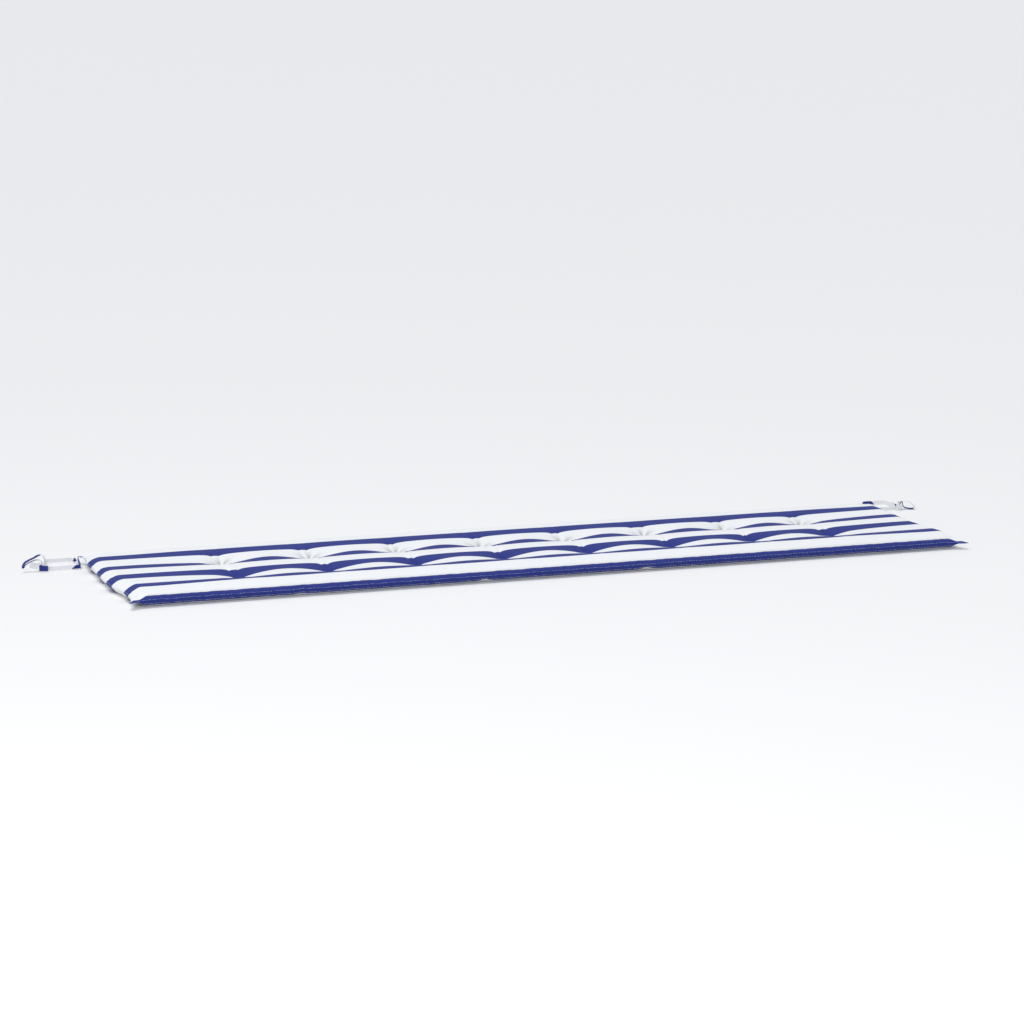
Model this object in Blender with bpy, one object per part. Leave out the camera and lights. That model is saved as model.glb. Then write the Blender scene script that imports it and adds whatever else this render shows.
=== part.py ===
"""Striped bench cushion, 2.0 m long, 0.5 m deep and 3 cm thick, with a pair of ties at each rear corner.

Metres, +Z up.  The origin is the middle of the flat underside, +X runs along the length
and +Y points to the rear.  The cushion is one filled solid: two panels sewn together on a
rim that is rolled and topstitched, tufted right through in two rows of eight.  The two
ties of a rear corner go round a square opening and meet in a knot with two bow loops and
two free ends.
"""

import math

import bpy
import bmesh
from mathutils import Vector

# Cover
LENGTH = 2.00
DEPTH = 0.50
DRAW_IN = 0.013
# The left end reaches further out towards the rear, and the right end is drawn in at its middle
LEFT_REACH = 0.018
RIGHT_HOLLOW = 0.008
EAR_RUN = 0.022
EAR_HEIGHT = 0.0150
EAR_THIN = 0.15
EAR_THIN_RUN = 0.050
# Section through the rim, from the underside up
RIM_SECTION = (
    # line, how far it lies inside the outermost one, height
    ("underside", 0.0240, 0.0),
    ("lower roll", 0.0090, 0.0030),
    ("seam", 0.0035, 0.0085),
    ("widest", 0.0, 0.0148),
    ("topstitch", 0.0034, 0.0216),
    ("top of the roll", 0.0090, 0.0263),
    ("crease", 0.0120, 0.0252),
    ("shoulder", 0.0145, 0.0268),
)
UNDERSIDE = 0
SHOULDER = len(RIM_SECTION) - 1

# Crown of the upper panel between the tufts: three crests with a trough along each row
CROWN_PROFILE = (
    # place across the cushion, height
    (-0.2265, 0.0256),
    (-0.2000, 0.0316),
    (-0.1700, 0.0352),
    (-0.1400, 0.0317),
    (-0.1100, 0.0290),
    (-0.0835, 0.0274),
    (-0.0550, 0.0293),
    (-0.0250, 0.0306),
    (0.0000, 0.0291),
    (0.0250, 0.0274),
    (0.0550, 0.0257),
    (0.0835, 0.0256),
    (0.1100, 0.0275),
    (0.1400, 0.0301),
    (0.1700, 0.0313),
    (0.2000, 0.0296),
    (0.2265, 0.0261),
)
END_PROFILE = ((-0.2265, 0.0232), (-0.1700, 0.0328), (0.1700, 0.0289), (0.2265, 0.0237))
END_BLEND = 0.57
END_RUN = 0.0150

# Tufts: the fill stands up in a pillow between two of them.  Each has a funnel, and a crease
# that runs across the cushion through it.
TUFT_COLUMNS = 8
TUFT_PITCH = 0.2056
TUFT_ROW_OFFSET = 0.0775
PILLOW_RISE = 0.0039
PILLOW_REACH = 0.0362
PILLOW_PLACES = (-0.1040, 0.0716)
TUFT_DEPTH = 0.0110
TUFT_RUN = 0.0197
TUFT_ROUND = 0.0056
TUFT_STRETCH = 0.572
TUFT_LOW = 0.0090
CREASE_DEPTH = 0.0031
CREASE_RUN = 0.0060
CREASE_LENGTH = 0.0527
UNDER_TUFT_DEPTH = 0.003
UNDER_TUFT_RUN = 0.014

# Grid lines of the cover, as distances from a tuft and from the cover's outline
LINES_FROM_COLUMN = (0.0, 0.009, 0.022, 0.043, 0.072, 0.103)
LINES_FROM_ROW = (0.0, 0.009, 0.022, 0.043, 0.066)
LINES_FROM_END = (0.012, 0.028, 0.048, 0.075, 0.115, 0.165)
LINES_FROM_FRONT = (0.012, 0.028, 0.050, 0.080)

# Ties, and the opening that each pair goes round.  The tables are for the side at +X.
TIE_WIDTH = 0.0096
TIE_THICKNESS = 0.0018
TIE_MIDDLE = 0.0056
TIE_STEP = 0.008
TURN_RADIUS = 0.007
TWIST_RUN = 0.016
FRONT_ROOT = (0.0038, -0.0036)
REAR_ROOT = (-0.0005, 0.0015)
REAR_ENTRY = 0.008
OPENING_LENGTH = 0.062
OPENING_DEPTH = 0.083

# Knot and bow.  A loop stands in an upright plane that is turned forwards by an angle.
KNOT_OUT = 0.0120
KNOT_DEPTH = 0.0110
KNOT_HEIGHT = 0.0140
KNOT_LOW = 0.0006
KNOT_ROUND = 0.0035
STRAIGHT_INTO_KNOT = 0.005
TIE_IN_KNOT = 0.0042
CLEAR = 0.0004
SIDES = (
    # name, side, how far the corner's tip and the opening lie outside LENGTH,
    # the opening's front line, the knot's place outside the opening and behind that line,
    # the loop's turn in degrees
    ("left", -1, 0.0072, 0.0145, 0.187, 0.0195, 0.017, 10.0),
    ("right", 1, 0.0, 0.011, 0.232, 0.0080, 0.016, 29.0),
)
OUTER_LOOPS = {
    # outwards and up, from the middle of the knot's top
    "left": (
        (-0.0035, 0.0000),
        (-0.0050, 0.0080),
        (-0.0010, 0.0160),
        (0.0050, 0.0195),
        (0.0130, 0.0185),
        (0.0216, 0.0144),
        (0.0340, 0.0100),
        (0.0435, 0.0045),
        (0.0486, -0.0060),
        (0.0427, -0.0014),
        (0.0345, 0.0034),
        (0.0231, 0.0074),
        (0.0130, 0.0090),
        (0.0050, 0.0065),
        (0.0025, 0.0000),
    ),
    "right": (
        (-0.0030, 0.0000),
        (-0.0015, 0.0046),
        (0.0077, 0.0052),
        (0.0215, 0.0043),
        (0.0312, -0.0006),
        (0.0388, -0.0090),
        (0.0345, -0.0128),
        (0.0255, -0.0130),
        (0.0150, -0.0115),
        (0.0100, -0.0070),
        (0.0084, 0.0005),
        (0.0060, 0.0030),
        (0.0035, 0.0000),
    ),
}
REAR_LOOP = (
    # backwards, outwards
    (0.0000, 0.0022),
    (0.0080, 0.0048),
    (0.0200, 0.0090),
    (0.0310, 0.0150),
    (0.0360, 0.0205),
    (0.0310, 0.0230),
    (0.0200, 0.0185),
    (0.0080, 0.0110),
    (0.0000, 0.0052),
)
REAR_END = ((0.0000, -0.0009), (0.0100, -0.0005), (0.0240, 0.0015), (0.0380, 0.0020))
FRONT_ENDS = {
    "left": (
        (0.0000, 0.0038),
        (-0.0040, 0.0095),
        (-0.0090, 0.0090),
        (-0.0130, 0.0020),
        (-0.0170, -0.0070),
    ),
    "right": (
        (0.0000, 0.0000),
        (-0.0060, 0.0005),
        (-0.0120, -0.0030),
        (-0.0160, -0.0110),
        (-0.0180, -0.0190),
    ),
}

BLUE = (0.030, 0.055, 0.270, 1.0)
WHITE = (0.800, 0.810, 0.850, 1.0)


def clear_scene():
    for obj in list(bpy.data.objects):
        bpy.data.objects.remove(obj)


def new_collection(name):
    collection = bpy.data.collections.new(name)
    bpy.context.scene.collection.children.link(collection)
    return collection


def cloth_material(name, colour):
    material = bpy.data.materials.new(name)
    material.use_nodes = True
    shader = material.node_tree.nodes["Principled BSDF"]
    shader.inputs["Base Color"].default_value = colour
    shader.inputs["Roughness"].default_value = 0.85
    shader.inputs["Metallic"].default_value = 0.0
    return material


def smoothstep(low, high, value):
    t = min(1.0, max(0.0, (value - low) / (high - low)))
    return t * t * (3.0 - 2.0 * t)


def tuft_columns():
    first = -(TUFT_COLUMNS - 1) / 2 * TUFT_PITCH
    return [first + i * TUFT_PITCH for i in range(TUFT_COLUMNS)]


COLUMNS = tuft_columns()
TUFTS = [(x, y) for x in COLUMNS for y in (-TUFT_ROW_OFFSET, TUFT_ROW_OFFSET)]


def height_between(table, place):
    """Height at this place across the cushion, between the rows of a table."""
    rows = [row for row in table if row[0] < place] or [table[0]]
    start = rows[-1]
    end = table[min(len(rows), len(table) - 1)]
    share = (place - start[0]) / (end[0] - start[0]) if end[0] > start[0] else 0.0
    return start[1] + (end[1] - start[1]) * min(1.0, max(0.0, share))


def tuft_pull(x, y):
    """How far the tufts draw the upper panel down, in their funnels and creases."""
    pull = 0.0
    for tuft_x, tuft_y in TUFTS:
        along, across = abs(x - tuft_x), y - tuft_y
        away = math.hypot(along * TUFT_STRETCH, across, TUFT_ROUND) - TUFT_ROUND
        pull += TUFT_DEPTH * math.exp(-away / TUFT_RUN)
        pull += CREASE_DEPTH * math.exp(-along / CREASE_RUN - (across / CREASE_LENGTH) ** 2)
    return pull


def pillow(x, y):
    """How far the fill stands up between two columns of tufts, and sinks at a column."""
    if abs(x) > COLUMNS[-1] + TUFT_PITCH / 4:
        return 0.0
    wave = -math.cos(2 * math.pi * (x - COLUMNS[0]) / TUFT_PITCH)
    return wave * PILLOW_RISE * sum(
        math.exp(-(((y - place) / PILLOW_REACH) ** 2)) for place in PILLOW_PLACES
    )


def end_reach(x, y):
    """How far out an end reaches at this depth, because the pad isn't quite square."""
    if x < 0.0:
        to_rear = 1.0 - 0.6 * smoothstep(0.17, 0.25, y)
        return LEFT_REACH * smoothstep(-0.17, -0.04, y) * to_rear
    return -RIGHT_HOLLOW * math.exp(-(((y + 0.01) / 0.09) ** 2))


def crown_height(x, y):
    """Height of the upper panel: up from the shoulder, down into the troughs and the tufts."""
    _, inset, shoulder = RIM_SECTION[SHOULDER]
    to_end = LENGTH / 2 + end_reach(x, y) - DRAW_IN - inset - abs(x)
    to_side = DEPTH / 2 - DRAW_IN - inset - abs(y)
    if min(to_end, to_side) < 1e-5:
        return shoulder
    blend = END_BLEND * smoothstep(0.76, 0.94, abs(x))
    crown = height_between(CROWN_PROFILE, y) + pillow(x, y)
    crown += (height_between(END_PROFILE, y) - crown) * blend
    crown = max(TUFT_LOW, crown - tuft_pull(x, y))
    rise = math.sin(math.pi / 2 * min(1.0, to_end / END_RUN))
    return shoulder + (crown - shoulder) * rise


def underside_height(x, y):
    """The underside is flat but for a small dimple under each tuft."""
    nearest = min(math.hypot(x - tx, y - ty) for tx, ty in TUFTS)
    return UNDER_TUFT_DEPTH * math.exp(-((nearest / UNDER_TUFT_RUN) ** 2))


def ear(along):
    """How much of a corner's reach is left at this distance from it along an edge."""
    return math.exp(-((along / EAR_RUN) ** 1.5))


def cover_point(x, y, line):
    """Where a point of the plain block goes.  line is its row of RIM_SECTION."""
    _, inset, height = RIM_SECTION[line]
    at_end = smoothstep(0.80, 1.0, abs(x) / (LENGTH / 2))
    at_side = smoothstep(0.50, 1.0, abs(y) / (DEPTH / 2))
    from_end = LENGTH / 2 - abs(x)
    from_side = DEPTH / 2 - abs(y)
    drawn = inset + DRAW_IN * (1.0 - ear(from_side)) - end_reach(x, y)
    new_x = x - math.copysign(1.0, x) * drawn * at_end
    new_y = y - math.copysign((inset + DRAW_IN * (1.0 - ear(from_end))) * at_side, y)
    if line == SHOULDER:
        height = crown_height(new_x, new_y)
    elif line == UNDERSIDE:
        height = underside_height(new_x, new_y)
    fullness = smoothstep(0.0, EAR_THIN_RUN, math.hypot(from_end, from_side))
    thickness = EAR_THIN + (1.0 - EAR_THIN) * fullness
    return Vector((new_x, new_y, EAR_HEIGHT + (height - EAR_HEIGHT) * thickness))


def on_both_sides(values):
    """The values with their mirror images, in order, without those that nearly coincide."""
    lines = []
    for value in sorted([-v for v in values] + list(values)):
        if not lines or value - lines[-1] > 0.003:
            lines.append(value)
    return lines


def cut_block(block, axis, places):
    for place in places:
        point = Vector((0.0, 0.0, 0.0))
        point[axis] = place
        normal = Vector((0.0, 0.0, 0.0))
        normal[axis] = 1.0
        every = block.verts[:] + block.edges[:] + block.faces[:]
        bmesh.ops.bisect_plane(block, geom=every, plane_co=point, plane_no=normal)


def make_cushion(collection, material):
    """A plain block, cut into a grid whose levels are the rim's lines, then drawn into shape."""
    block = bmesh.new()
    bmesh.ops.create_cube(block, size=1.0)
    bmesh.ops.scale(block, vec=(LENGTH, DEPTH, SHOULDER), verts=block.verts)
    bmesh.ops.translate(block, vec=(0.0, 0.0, SHOULDER / 2), verts=block.verts)
    along = [x + side * away for x in COLUMNS for away in LINES_FROM_COLUMN for side in (-1, 1)]
    along = [x for x in along if abs(x) < LENGTH / 2 - LINES_FROM_END[-1]]
    cut_block(block, 0, on_both_sides(along + [LENGTH / 2 - away for away in LINES_FROM_END]))
    across = [TUFT_ROW_OFFSET + side * away for away in LINES_FROM_ROW[:-1] for side in (-1, 1)]
    across += [0.0, TUFT_ROW_OFFSET + LINES_FROM_ROW[-1]]
    cut_block(block, 1, on_both_sides(across + [DEPTH / 2 - away for away in LINES_FROM_FRONT]))
    cut_block(block, 2, range(1, SHOULDER))
    for vertex in block.verts:
        x, y, level = vertex.co
        vertex.co = cover_point(x, y, round(level))
    bmesh.ops.triangulate(block, faces=block.faces)
    return finished("cushion", block, collection, material)


def finished(name, shape, collection, material):
    mesh = bpy.data.meshes.new(name)
    shape.to_mesh(mesh)
    shape.free()
    mesh.shade_smooth()
    mesh.set_sharp_from_angle(angle=math.radians(50))
    mesh.materials.append(material)
    obj = bpy.data.objects.new(name, mesh)
    collection.objects.link(obj)
    return obj


def smooth_path(points, steps):
    """A Catmull-Rom curve through a few points."""
    path = [Vector(point) for point in points]
    path = [2 * path[0] - path[1]] + path + [2 * path[-1] - path[-2]]
    curve = []
    for before, start, end, after in zip(path, path[1:], path[2:], path[3:]):
        for i in range(steps):
            t = i / steps
            point = 2 * start + (end - before) * t
            point += (2 * before - 5 * start + 4 * end - after) * t**2
            point += (3 * start - before - 3 * end + after) * t**3
            curve.append(point / 2)
    return curve + [path[-2]]


def rounded_path(corners):
    """A path with rounded corners, and with points every few millimetres in between."""
    corners = [Vector(corner) for corner in corners]
    path = corners[:1]
    for before, corner, after in zip(corners, corners[1:], corners[2:]):
        into = (corner - before).normalized()
        away = (after - corner).normalized()
        reach = TURN_RADIUS * math.tan(into.angle(away) / 2)
        start = corner - into * reach
        end = corner + away * reach
        middle = corner.lerp((start + end) / 2, 0.6)
        path += [start, middle, end]
    path += corners[-1:]
    fine = path[:1]
    for start, end in zip(path, path[1:]):
        pieces = math.ceil((end - start).length / TIE_STEP)
        fine += [start.lerp(end, (i + 1) / pieces) for i in range(pieces)]
    return fine


def make_tape(name, collection, material, path, tilts=None):
    """A flat tape along a path, its width along local Z where it isn't tilted."""
    shape = bpy.data.curves.new(name, "CURVE")
    shape.dimensions = "3D"
    shape.twist_mode = "Z_UP"
    shape.extrude = TIE_WIDTH / 2 - TIE_THICKNESS / 2
    shape.bevel_depth = TIE_THICKNESS / 2
    shape.bevel_resolution = 0
    shape.use_fill_caps = True
    spline = shape.splines.new("POLY")
    spline.points.add(len(path) - 1)
    for i, point in enumerate(path):
        spline.points[i].co = (*point, 1.0)
        spline.points[i].tilt = tilts[i] if tilts else 0.0
    shape.materials.append(material)
    tape = bpy.data.objects.new(name, shape)
    collection.objects.link(tape)
    return tape


def make_tie(name, collection, material, corners, side):
    """A tie from the cushion's corner to the knot.  It leaves the seam flat and turns onto its edge."""
    path = rounded_path(corners)
    tilts = []
    run = 0.0
    for before, point in zip(path[:1] + path, path):
        run += (point - before).length
        tilts.append(side * math.pi / 2 * (1.0 - smoothstep(0.0, TWIST_RUN, run)))
    return make_tape(name, collection, material, path, tilts)


def make_knot(name, collection, material, middle):
    knot = bmesh.new()
    bmesh.ops.create_cube(knot, size=1.0)
    bmesh.ops.scale(knot, vec=(KNOT_OUT, KNOT_DEPTH, KNOT_HEIGHT), verts=knot.verts)
    bmesh.ops.bevel(
        knot, geom=knot.edges, offset=KNOT_ROUND, segments=3, profile=0.5, affect="EDGES"
    )
    obj = finished(name, knot, collection, material)
    obj.location = middle
    return obj


def make_bow(collection, material, name, side, middle, turn):
    """The knot, and what stands out from it: two loops and two free ends."""
    make_knot(f"{name}_knot", collection, material, middle)
    top = middle + Vector((0.0, 0.0, KNOT_HEIGHT / 2 + CLEAR))
    front = middle - Vector((0.0, KNOT_DEPTH / 2 + CLEAR, 0.0))
    rear = middle + Vector((0.0, KNOT_DEPTH / 2 + CLEAR, 0.0))

    path = smooth_path([(side * out, up, 0.0) for out, up in OUTER_LOOPS[name]], 3)
    loop = make_tape(f"{name}_outer_loop", collection, material, path)
    loop.rotation_euler = (math.pi / 2, 0.0, -side * math.radians(turn))
    loop.location = top

    for piece, table, place in (
        ("rear_loop", REAR_LOOP, rear),
        ("rear_end", REAR_END, rear),
        ("front_end", FRONT_ENDS[name], front),
    ):
        path = smooth_path([(side * out, back, 0.0) for back, out in table], 3)
        tape = make_tape(f"{name}_{piece}", collection, material, path)
        tape.location = (place.x, place.y, TIE_MIDDLE)


def make_ties(collection, material):
    for name, side, tip, outside, front, knot_out, knot_back, turn in SIDES:
        inner = LENGTH / 2 + outside
        outer = inner + OPENING_LENGTH
        rear = front + OPENING_DEPTH
        knot_x = outer + knot_out
        tie_x = knot_x - TIE_IN_KNOT
        knot_y = front + knot_back
        reach = KNOT_DEPTH / 2 + CLEAR
        straight = reach + STRAIGHT_INTO_KNOT
        front_route = ((inner, front), (outer, front), (tie_x, knot_y - straight))
        rear_route = (
            (inner, DEPTH / 2 + REAR_ENTRY),
            (inner, rear),
            (outer, rear),
            (tie_x, knot_y + straight),
        )
        for piece, root, corners, end in (
            ("front_tie", FRONT_ROOT, front_route, knot_y - reach),
            ("rear_tie", REAR_ROOT, rear_route, knot_y + reach),
        ):
            route = [(side * (LENGTH / 2 + tip + root[0]), DEPTH / 2 + root[1], EAR_HEIGHT)]
            route += [(side * x, y, TIE_MIDDLE) for x, y in (*corners, (tie_x, end))]
            make_tie(f"{name}_{piece}", collection, material, route, side)
        middle = Vector((side * knot_x, knot_y, KNOT_LOW + KNOT_HEIGHT / 2))
        make_bow(collection, material, name, side, middle, turn)


def main():
    clear_scene()
    parts = new_collection("bench cushion")
    make_cushion(parts, cloth_material("striped polyester cloth", BLUE))
    make_ties(parts, cloth_material("tie cloth", WHITE))


main()
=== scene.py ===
"""Looks of the striped bench cushion: its sewn cover, stitching, tufts, ties and bows.

Metres, +Z up, in the frame of the CAD model.  The cover is one closed form.  Its
stripes run lengthwise and follow the cloth, and the ties are cut across the same stripes.
"""

import math

import bpy
import bmesh
import numpy as np
from mathutils import Euler, Matrix, Vector

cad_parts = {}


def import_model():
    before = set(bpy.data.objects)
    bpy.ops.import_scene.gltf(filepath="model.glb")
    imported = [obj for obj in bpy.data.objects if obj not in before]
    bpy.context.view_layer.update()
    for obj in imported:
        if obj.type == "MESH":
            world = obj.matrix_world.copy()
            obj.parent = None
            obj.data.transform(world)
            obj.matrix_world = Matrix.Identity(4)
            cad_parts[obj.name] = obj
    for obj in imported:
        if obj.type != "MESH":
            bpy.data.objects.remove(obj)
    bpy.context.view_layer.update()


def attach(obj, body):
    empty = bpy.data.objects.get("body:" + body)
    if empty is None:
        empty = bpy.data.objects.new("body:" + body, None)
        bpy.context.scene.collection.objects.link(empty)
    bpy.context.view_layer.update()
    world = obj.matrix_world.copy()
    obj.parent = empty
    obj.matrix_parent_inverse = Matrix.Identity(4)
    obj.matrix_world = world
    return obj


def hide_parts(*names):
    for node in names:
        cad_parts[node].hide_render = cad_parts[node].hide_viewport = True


# Camera, as the photograph was taken: metres, degrees, and millimetres for the lens and sensor
CAMERA_PLACE = (-2.15946, -5.70331, 1.29897)
CAMERA_YAW = 20.270
CAMERA_PITCH = 11.096
CAMERA_ROLL = 0.421
LENS = 94.97
SENSOR_WIDTH = 36.0

# Floor and light
FLOOR_SIZE = 600.0
FLOOR_HEIGHT = -0.0005
SKY_COLOUR = (0.92, 0.95, 1.0, 1.0)
SKY_STRENGTH = 0.50
LIGHTS = (
    # name, kind, place, its angle in radians or its side in metres, strength or watts
    ("overhead light", "SUN", (-0.5, 0.5, 3.0), math.radians(40), 1.50),
    ("front softbox", "AREA", (-2.6, -4.0, 2.6), 2.4, 60.0),
)

# Curves: points to a span, how much shorter each wave of a random line is than the last, the
# range of its random start, and a length too small to count
STEPS_IN_PATH = 8
STEPS_IN_TABLE = 12
WAVE_RATIO = 1.7
FULL_TURN = 6.28
HARDLY_ANY = 1e-5

# Cover
LENGTH = 2.00
DEPTH = 0.50
# How far the sides are drawn in between the corners
DRAW_IN = 0.013
# The left end comes to reach further out between two places across the cushion, and loses a
# share of that again between two more, nearer the rear
LEFT_REACH = 0.018
LEFT_REACH_FROM = (-0.17, -0.04)
LEFT_LOSS = 0.6
LEFT_LOSS_FROM = (0.17, 0.25)
# The right end is drawn in round one place across the cushion
RIGHT_HOLLOW = 0.008
RIGHT_HOLLOW_PLACE = -0.01
RIGHT_HOLLOW_WIDTH = 0.09
# Each corner runs out in a flat, thin ear
EAR_RUN = 0.022
EAR_BEND = 1.5
EAR_HEIGHT = 0.0150
EAR_THIN = 0.24
EAR_THIN_RUN = (0.012, 0.033)
RIM_SECTION = (
    # section through the rim, from the underside up: how far inside the outermost line, height
    (0.0240, 0.0000),
    (0.0155, 0.0006),
    (0.0105, 0.0024),
    (0.0078, 0.0050),
    (0.0060, 0.0074),
    (0.0056, 0.0088),
    (0.0026, 0.0112),
    (0.0004, 0.0140),
    (0.0020, 0.0167),
    (0.0040, 0.0194),
    (0.0074, 0.0217),
    (0.0102, 0.0231),
    (0.0126, 0.0212),
    (0.0145, 0.0264),
)
# Lines of this section: the last one of the underside's cloth, the one where the foot stands
# off the floor most, the seam, the topstitch and the crease
PANEL_LINE = 2
FOOT_LINE = 3.0
SEAM_LINE = 4
STITCH_LINE = 8
CREASE_LINE = 12
SHOULDER = len(RIM_SECTION) - 1
# At the rear and at the ends the roll goes over into the panel without a crease: the heights
# of its last two lines
REAR_ROLL = (0.0262, 0.0266)
END_ROLL = (0.0243, 0.0256)
# The outermost parts of the length and the depth, as shares of the half, move with the rim
END_SHARE = 0.80
SIDE_SHARE = 0.50
CELLS_ALONG = 420
CELLS_ACROSS = 94
# How much closer together the grid's lines lie at a tuft
CROWDED_ALONG = 0.60
CROWDED_ACROSS = 0.45

# Crown of the upper panel, between the tufts, from the front to the rear
CROWN_PROFILE = (
    # place across the cushion, height
    (-0.2265, 0.0254),
    (-0.2000, 0.0316),
    (-0.1700, 0.0352),
    (-0.1400, 0.0317),
    (-0.1100, 0.0290),
    (-0.0835, 0.0274),
    (-0.0550, 0.0293),
    (-0.0250, 0.0306),
    (0.0000, 0.0291),
    (0.0250, 0.0274),
    (0.0550, 0.0257),
    (0.0835, 0.0256),
    (0.1100, 0.0275),
    (0.1400, 0.0301),
    (0.1700, 0.0313),
    (0.2000, 0.0296),
    (0.2265, 0.0261),
)
# Crown next to an end.  It takes over by a share, between two places along the cushion.
END_PROFILE = ((-0.2265, 0.0230), (-0.1700, 0.0328), (0.1700, 0.0289), (0.2265, 0.0237))
END_BLEND = 0.572
END_BLEND_FROM = (0.76, 0.94)
END_RUN = 0.0150

# Tufts: the fill stands up in a pillow between two of them.  Each has a funnel, and creases
# that run across the cushion through it.
TUFT_COLUMNS = 8
TUFT_PITCH = 0.2055
TUFT_ROW_OFFSET = 0.0774
TUFT_SHIFT = 0.0004
# A row of pillows: place across the cushion, height
PILLOW_REACH = 0.0362
PILLOWS = ((-0.1039, 0.0040), (0.0716, 0.0037))
# The funnel is stretched along the cushion, and its bottom is round
TUFT_DEPTH = 0.0108
REAR_TUFT_DEPTH = 0.0114
TUFT_RUN = 0.0197
TUFT_ROUND = 0.0056
TUFT_STRETCH = 0.572
# The panel is never drawn lower than this, and comes to it over a soft bend
TUFT_LOW = 0.0080
TUFT_LOW_BEND = 0.0015
# A crease leans aside by its spread and grows wider, both with its distance from the tuft
CREASE_DEPTH = 0.0058
CREASE_RUN = 0.0040
CREASE_WIDENING = 0.04
CREASE_LENGTH = 0.0500
CREASE_SPREAD = (0.05, 0.32)
CREASE_UNEVEN = (0.6, 1.0)
CREASE_START = 0.008
# Small folds stand round a tuft like spokes.  They begin between these distances from it.
FOLD_HEIGHT = 0.0012
FOLD_FROM = (0.004, 0.012)
FOLD_REACH = 0.022
FOLD_STRETCH = 0.8
FOLDS_ROUND_TUFT = (6, 10)
UNDER_TUFT_DEPTH = 0.003
UNDER_TUFT_RUN = 0.014
# Painted shade in the pit round a tuft: it lies thickest just behind the tuft, where the cloth is
# gathered closely, and falls in facets
PIT_SHADE_RUN = 0.017
PIT_SHADE_BEHIND = 0.008
PIT_SHADE_STRETCH = 0.75
SHADE_FACETS_ROUND_TUFT = (4, 7)

# The sewn rim puckers a little along its stitching: the lengths of its longest waves
PUCKER_HEIGHT = 0.0006
PUCKER_REACH = 0.020
END_WAVE = 0.085
SIDE_WAVE = 0.080
ROLL_WAVE_OUT = 0.090
ROLL_WAVE_UP = 0.110
# Its foot stands off the floor a little all round, and more in three places at the front
FOOT_LIFT = 0.0005
FOOT_WAVE = 0.16
FOOT_REACH = 0.05
FOOT_LIFTS = (
    # place along the cushion, lift, width
    (-0.199, 0.0070, 0.010),
    (0.187, 0.0078, 0.012),
    (-0.62, 0.0030, 0.012),
)

# Stripes of the cloth, in metres across them
STRIPE_PERIOD = 0.10048
STRIPE_WIDTH = 0.03979
STRIPE_PLACE = 0.04253
# Cloth that the front crease takes up, and that the rear roll takes up between two places
CLOTH_IN_CREASE = 0.0250
CLOTH_IN_ROLL = 0.015
CLOTH_IN_ROLL_FROM = (0.17, 0.2225)
# The stitching of a tuft gathers the cloth towards it
CLOTH_PULL = 0.0099
PULL_ALONG = 0.0250
PULL_NEAR = 0.0200
PULL_ACROSS = 0.0534
# In front of the first row the cloth lies easy, and draws in again in line with each tuft:
# amount, place across the cushion, width, and length along it
FRONT_EASE = (0.0052, -0.1370, 0.0200)
FRONT_PULL = (0.0027, -0.1711, 0.0186, 0.0454)

# Ties, and the opening that each pair goes round.  The tables are for the side at +X.
TIE_WIDTH = 0.0096
TIE_THICKNESS = 0.0018
# The fold of a front end has opened a little, so it is wider
OPEN_END_WIDTH = 0.0130
# A tie's cloth is a little thinner than the tie, with folded edges that need some room
CLOTH_THICKNESS = TIE_THICKNESS * 0.9
FOLDED_EDGE = TIE_THICKNESS * 0.3
ROOM_FOR_EDGES = TIE_THICKNESS * 0.6
# A tie stands on its edge, with its middle at this height, and turns to it from lying flat
# over its first run.  It goes round each turn at a radius.
TIE_MIDDLE = 0.0056
TIE_STEP = 0.002
TURN_RADIUS = 0.007
TWIST_RUN = 0.016
# Each tie's root, out and back from the corner's tip, and how far back the rear tie turns
FRONT_ROOT = (0.0038, -0.0036)
REAR_ROOT = (-0.0005, 0.0015)
REAR_ENTRY = 0.008
OPENING_LENGTH = 0.062
OPENING_DEPTH = 0.083

# Knot and bow.  A loop stands in an upright plane that is turned forwards by an angle.
KNOT_OUT = 0.0120
KNOT_DEPTH = 0.0110
KNOT_HEIGHT = 0.0140
KNOT_LOW = 0.0006
STRAIGHT_INTO_KNOT = 0.005
TIE_IN_KNOT = 0.0042
CLEAR = 0.0004
# The knot's block is a rounded box, and a groove runs aslant round it between the two tapes:
# shares of its half size
KNOT_SQUARENESS = 5
GROOVE_DEPTH = 0.10
GROOVE_WIDTH = 0.18
GROOVE_SLANT = 0.5
SIDES = (
    # name, side, how far the corner's tip and the opening lie outside LENGTH,
    # the opening's front line, the knot's place outside the opening and behind that line,
    # the loop's turn in degrees
    ("left", -1, 0.0072, 0.0145, 0.187, 0.0195, 0.017, 10.0),
    ("right", 1, 0.0, 0.011, 0.232, 0.0080, 0.016, 29.0),
)
OUTER_LOOPS = {
    # outwards and up, from the middle of the knot's top
    "left": (
        (-0.0035, 0.0000),
        (-0.0050, 0.0080),
        (-0.0010, 0.0160),
        (0.0050, 0.0195),
        (0.0130, 0.0185),
        (0.0216, 0.0144),
        (0.0340, 0.0100),
        (0.0435, 0.0045),
        (0.0486, -0.0060),
        (0.0427, -0.0014),
        (0.0345, 0.0034),
        (0.0231, 0.0074),
        (0.0130, 0.0090),
        (0.0050, 0.0065),
        (0.0025, 0.0000),
    ),
    "right": (
        (-0.0030, 0.0000),
        (-0.0015, 0.0046),
        (0.0077, 0.0052),
        (0.0215, 0.0043),
        (0.0312, -0.0006),
        (0.0388, -0.0090),
        (0.0345, -0.0128),
        (0.0255, -0.0130),
        (0.0150, -0.0115),
        (0.0100, -0.0070),
        (0.0084, 0.0005),
        (0.0060, 0.0030),
        (0.0035, 0.0000),
    ),
}
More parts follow.
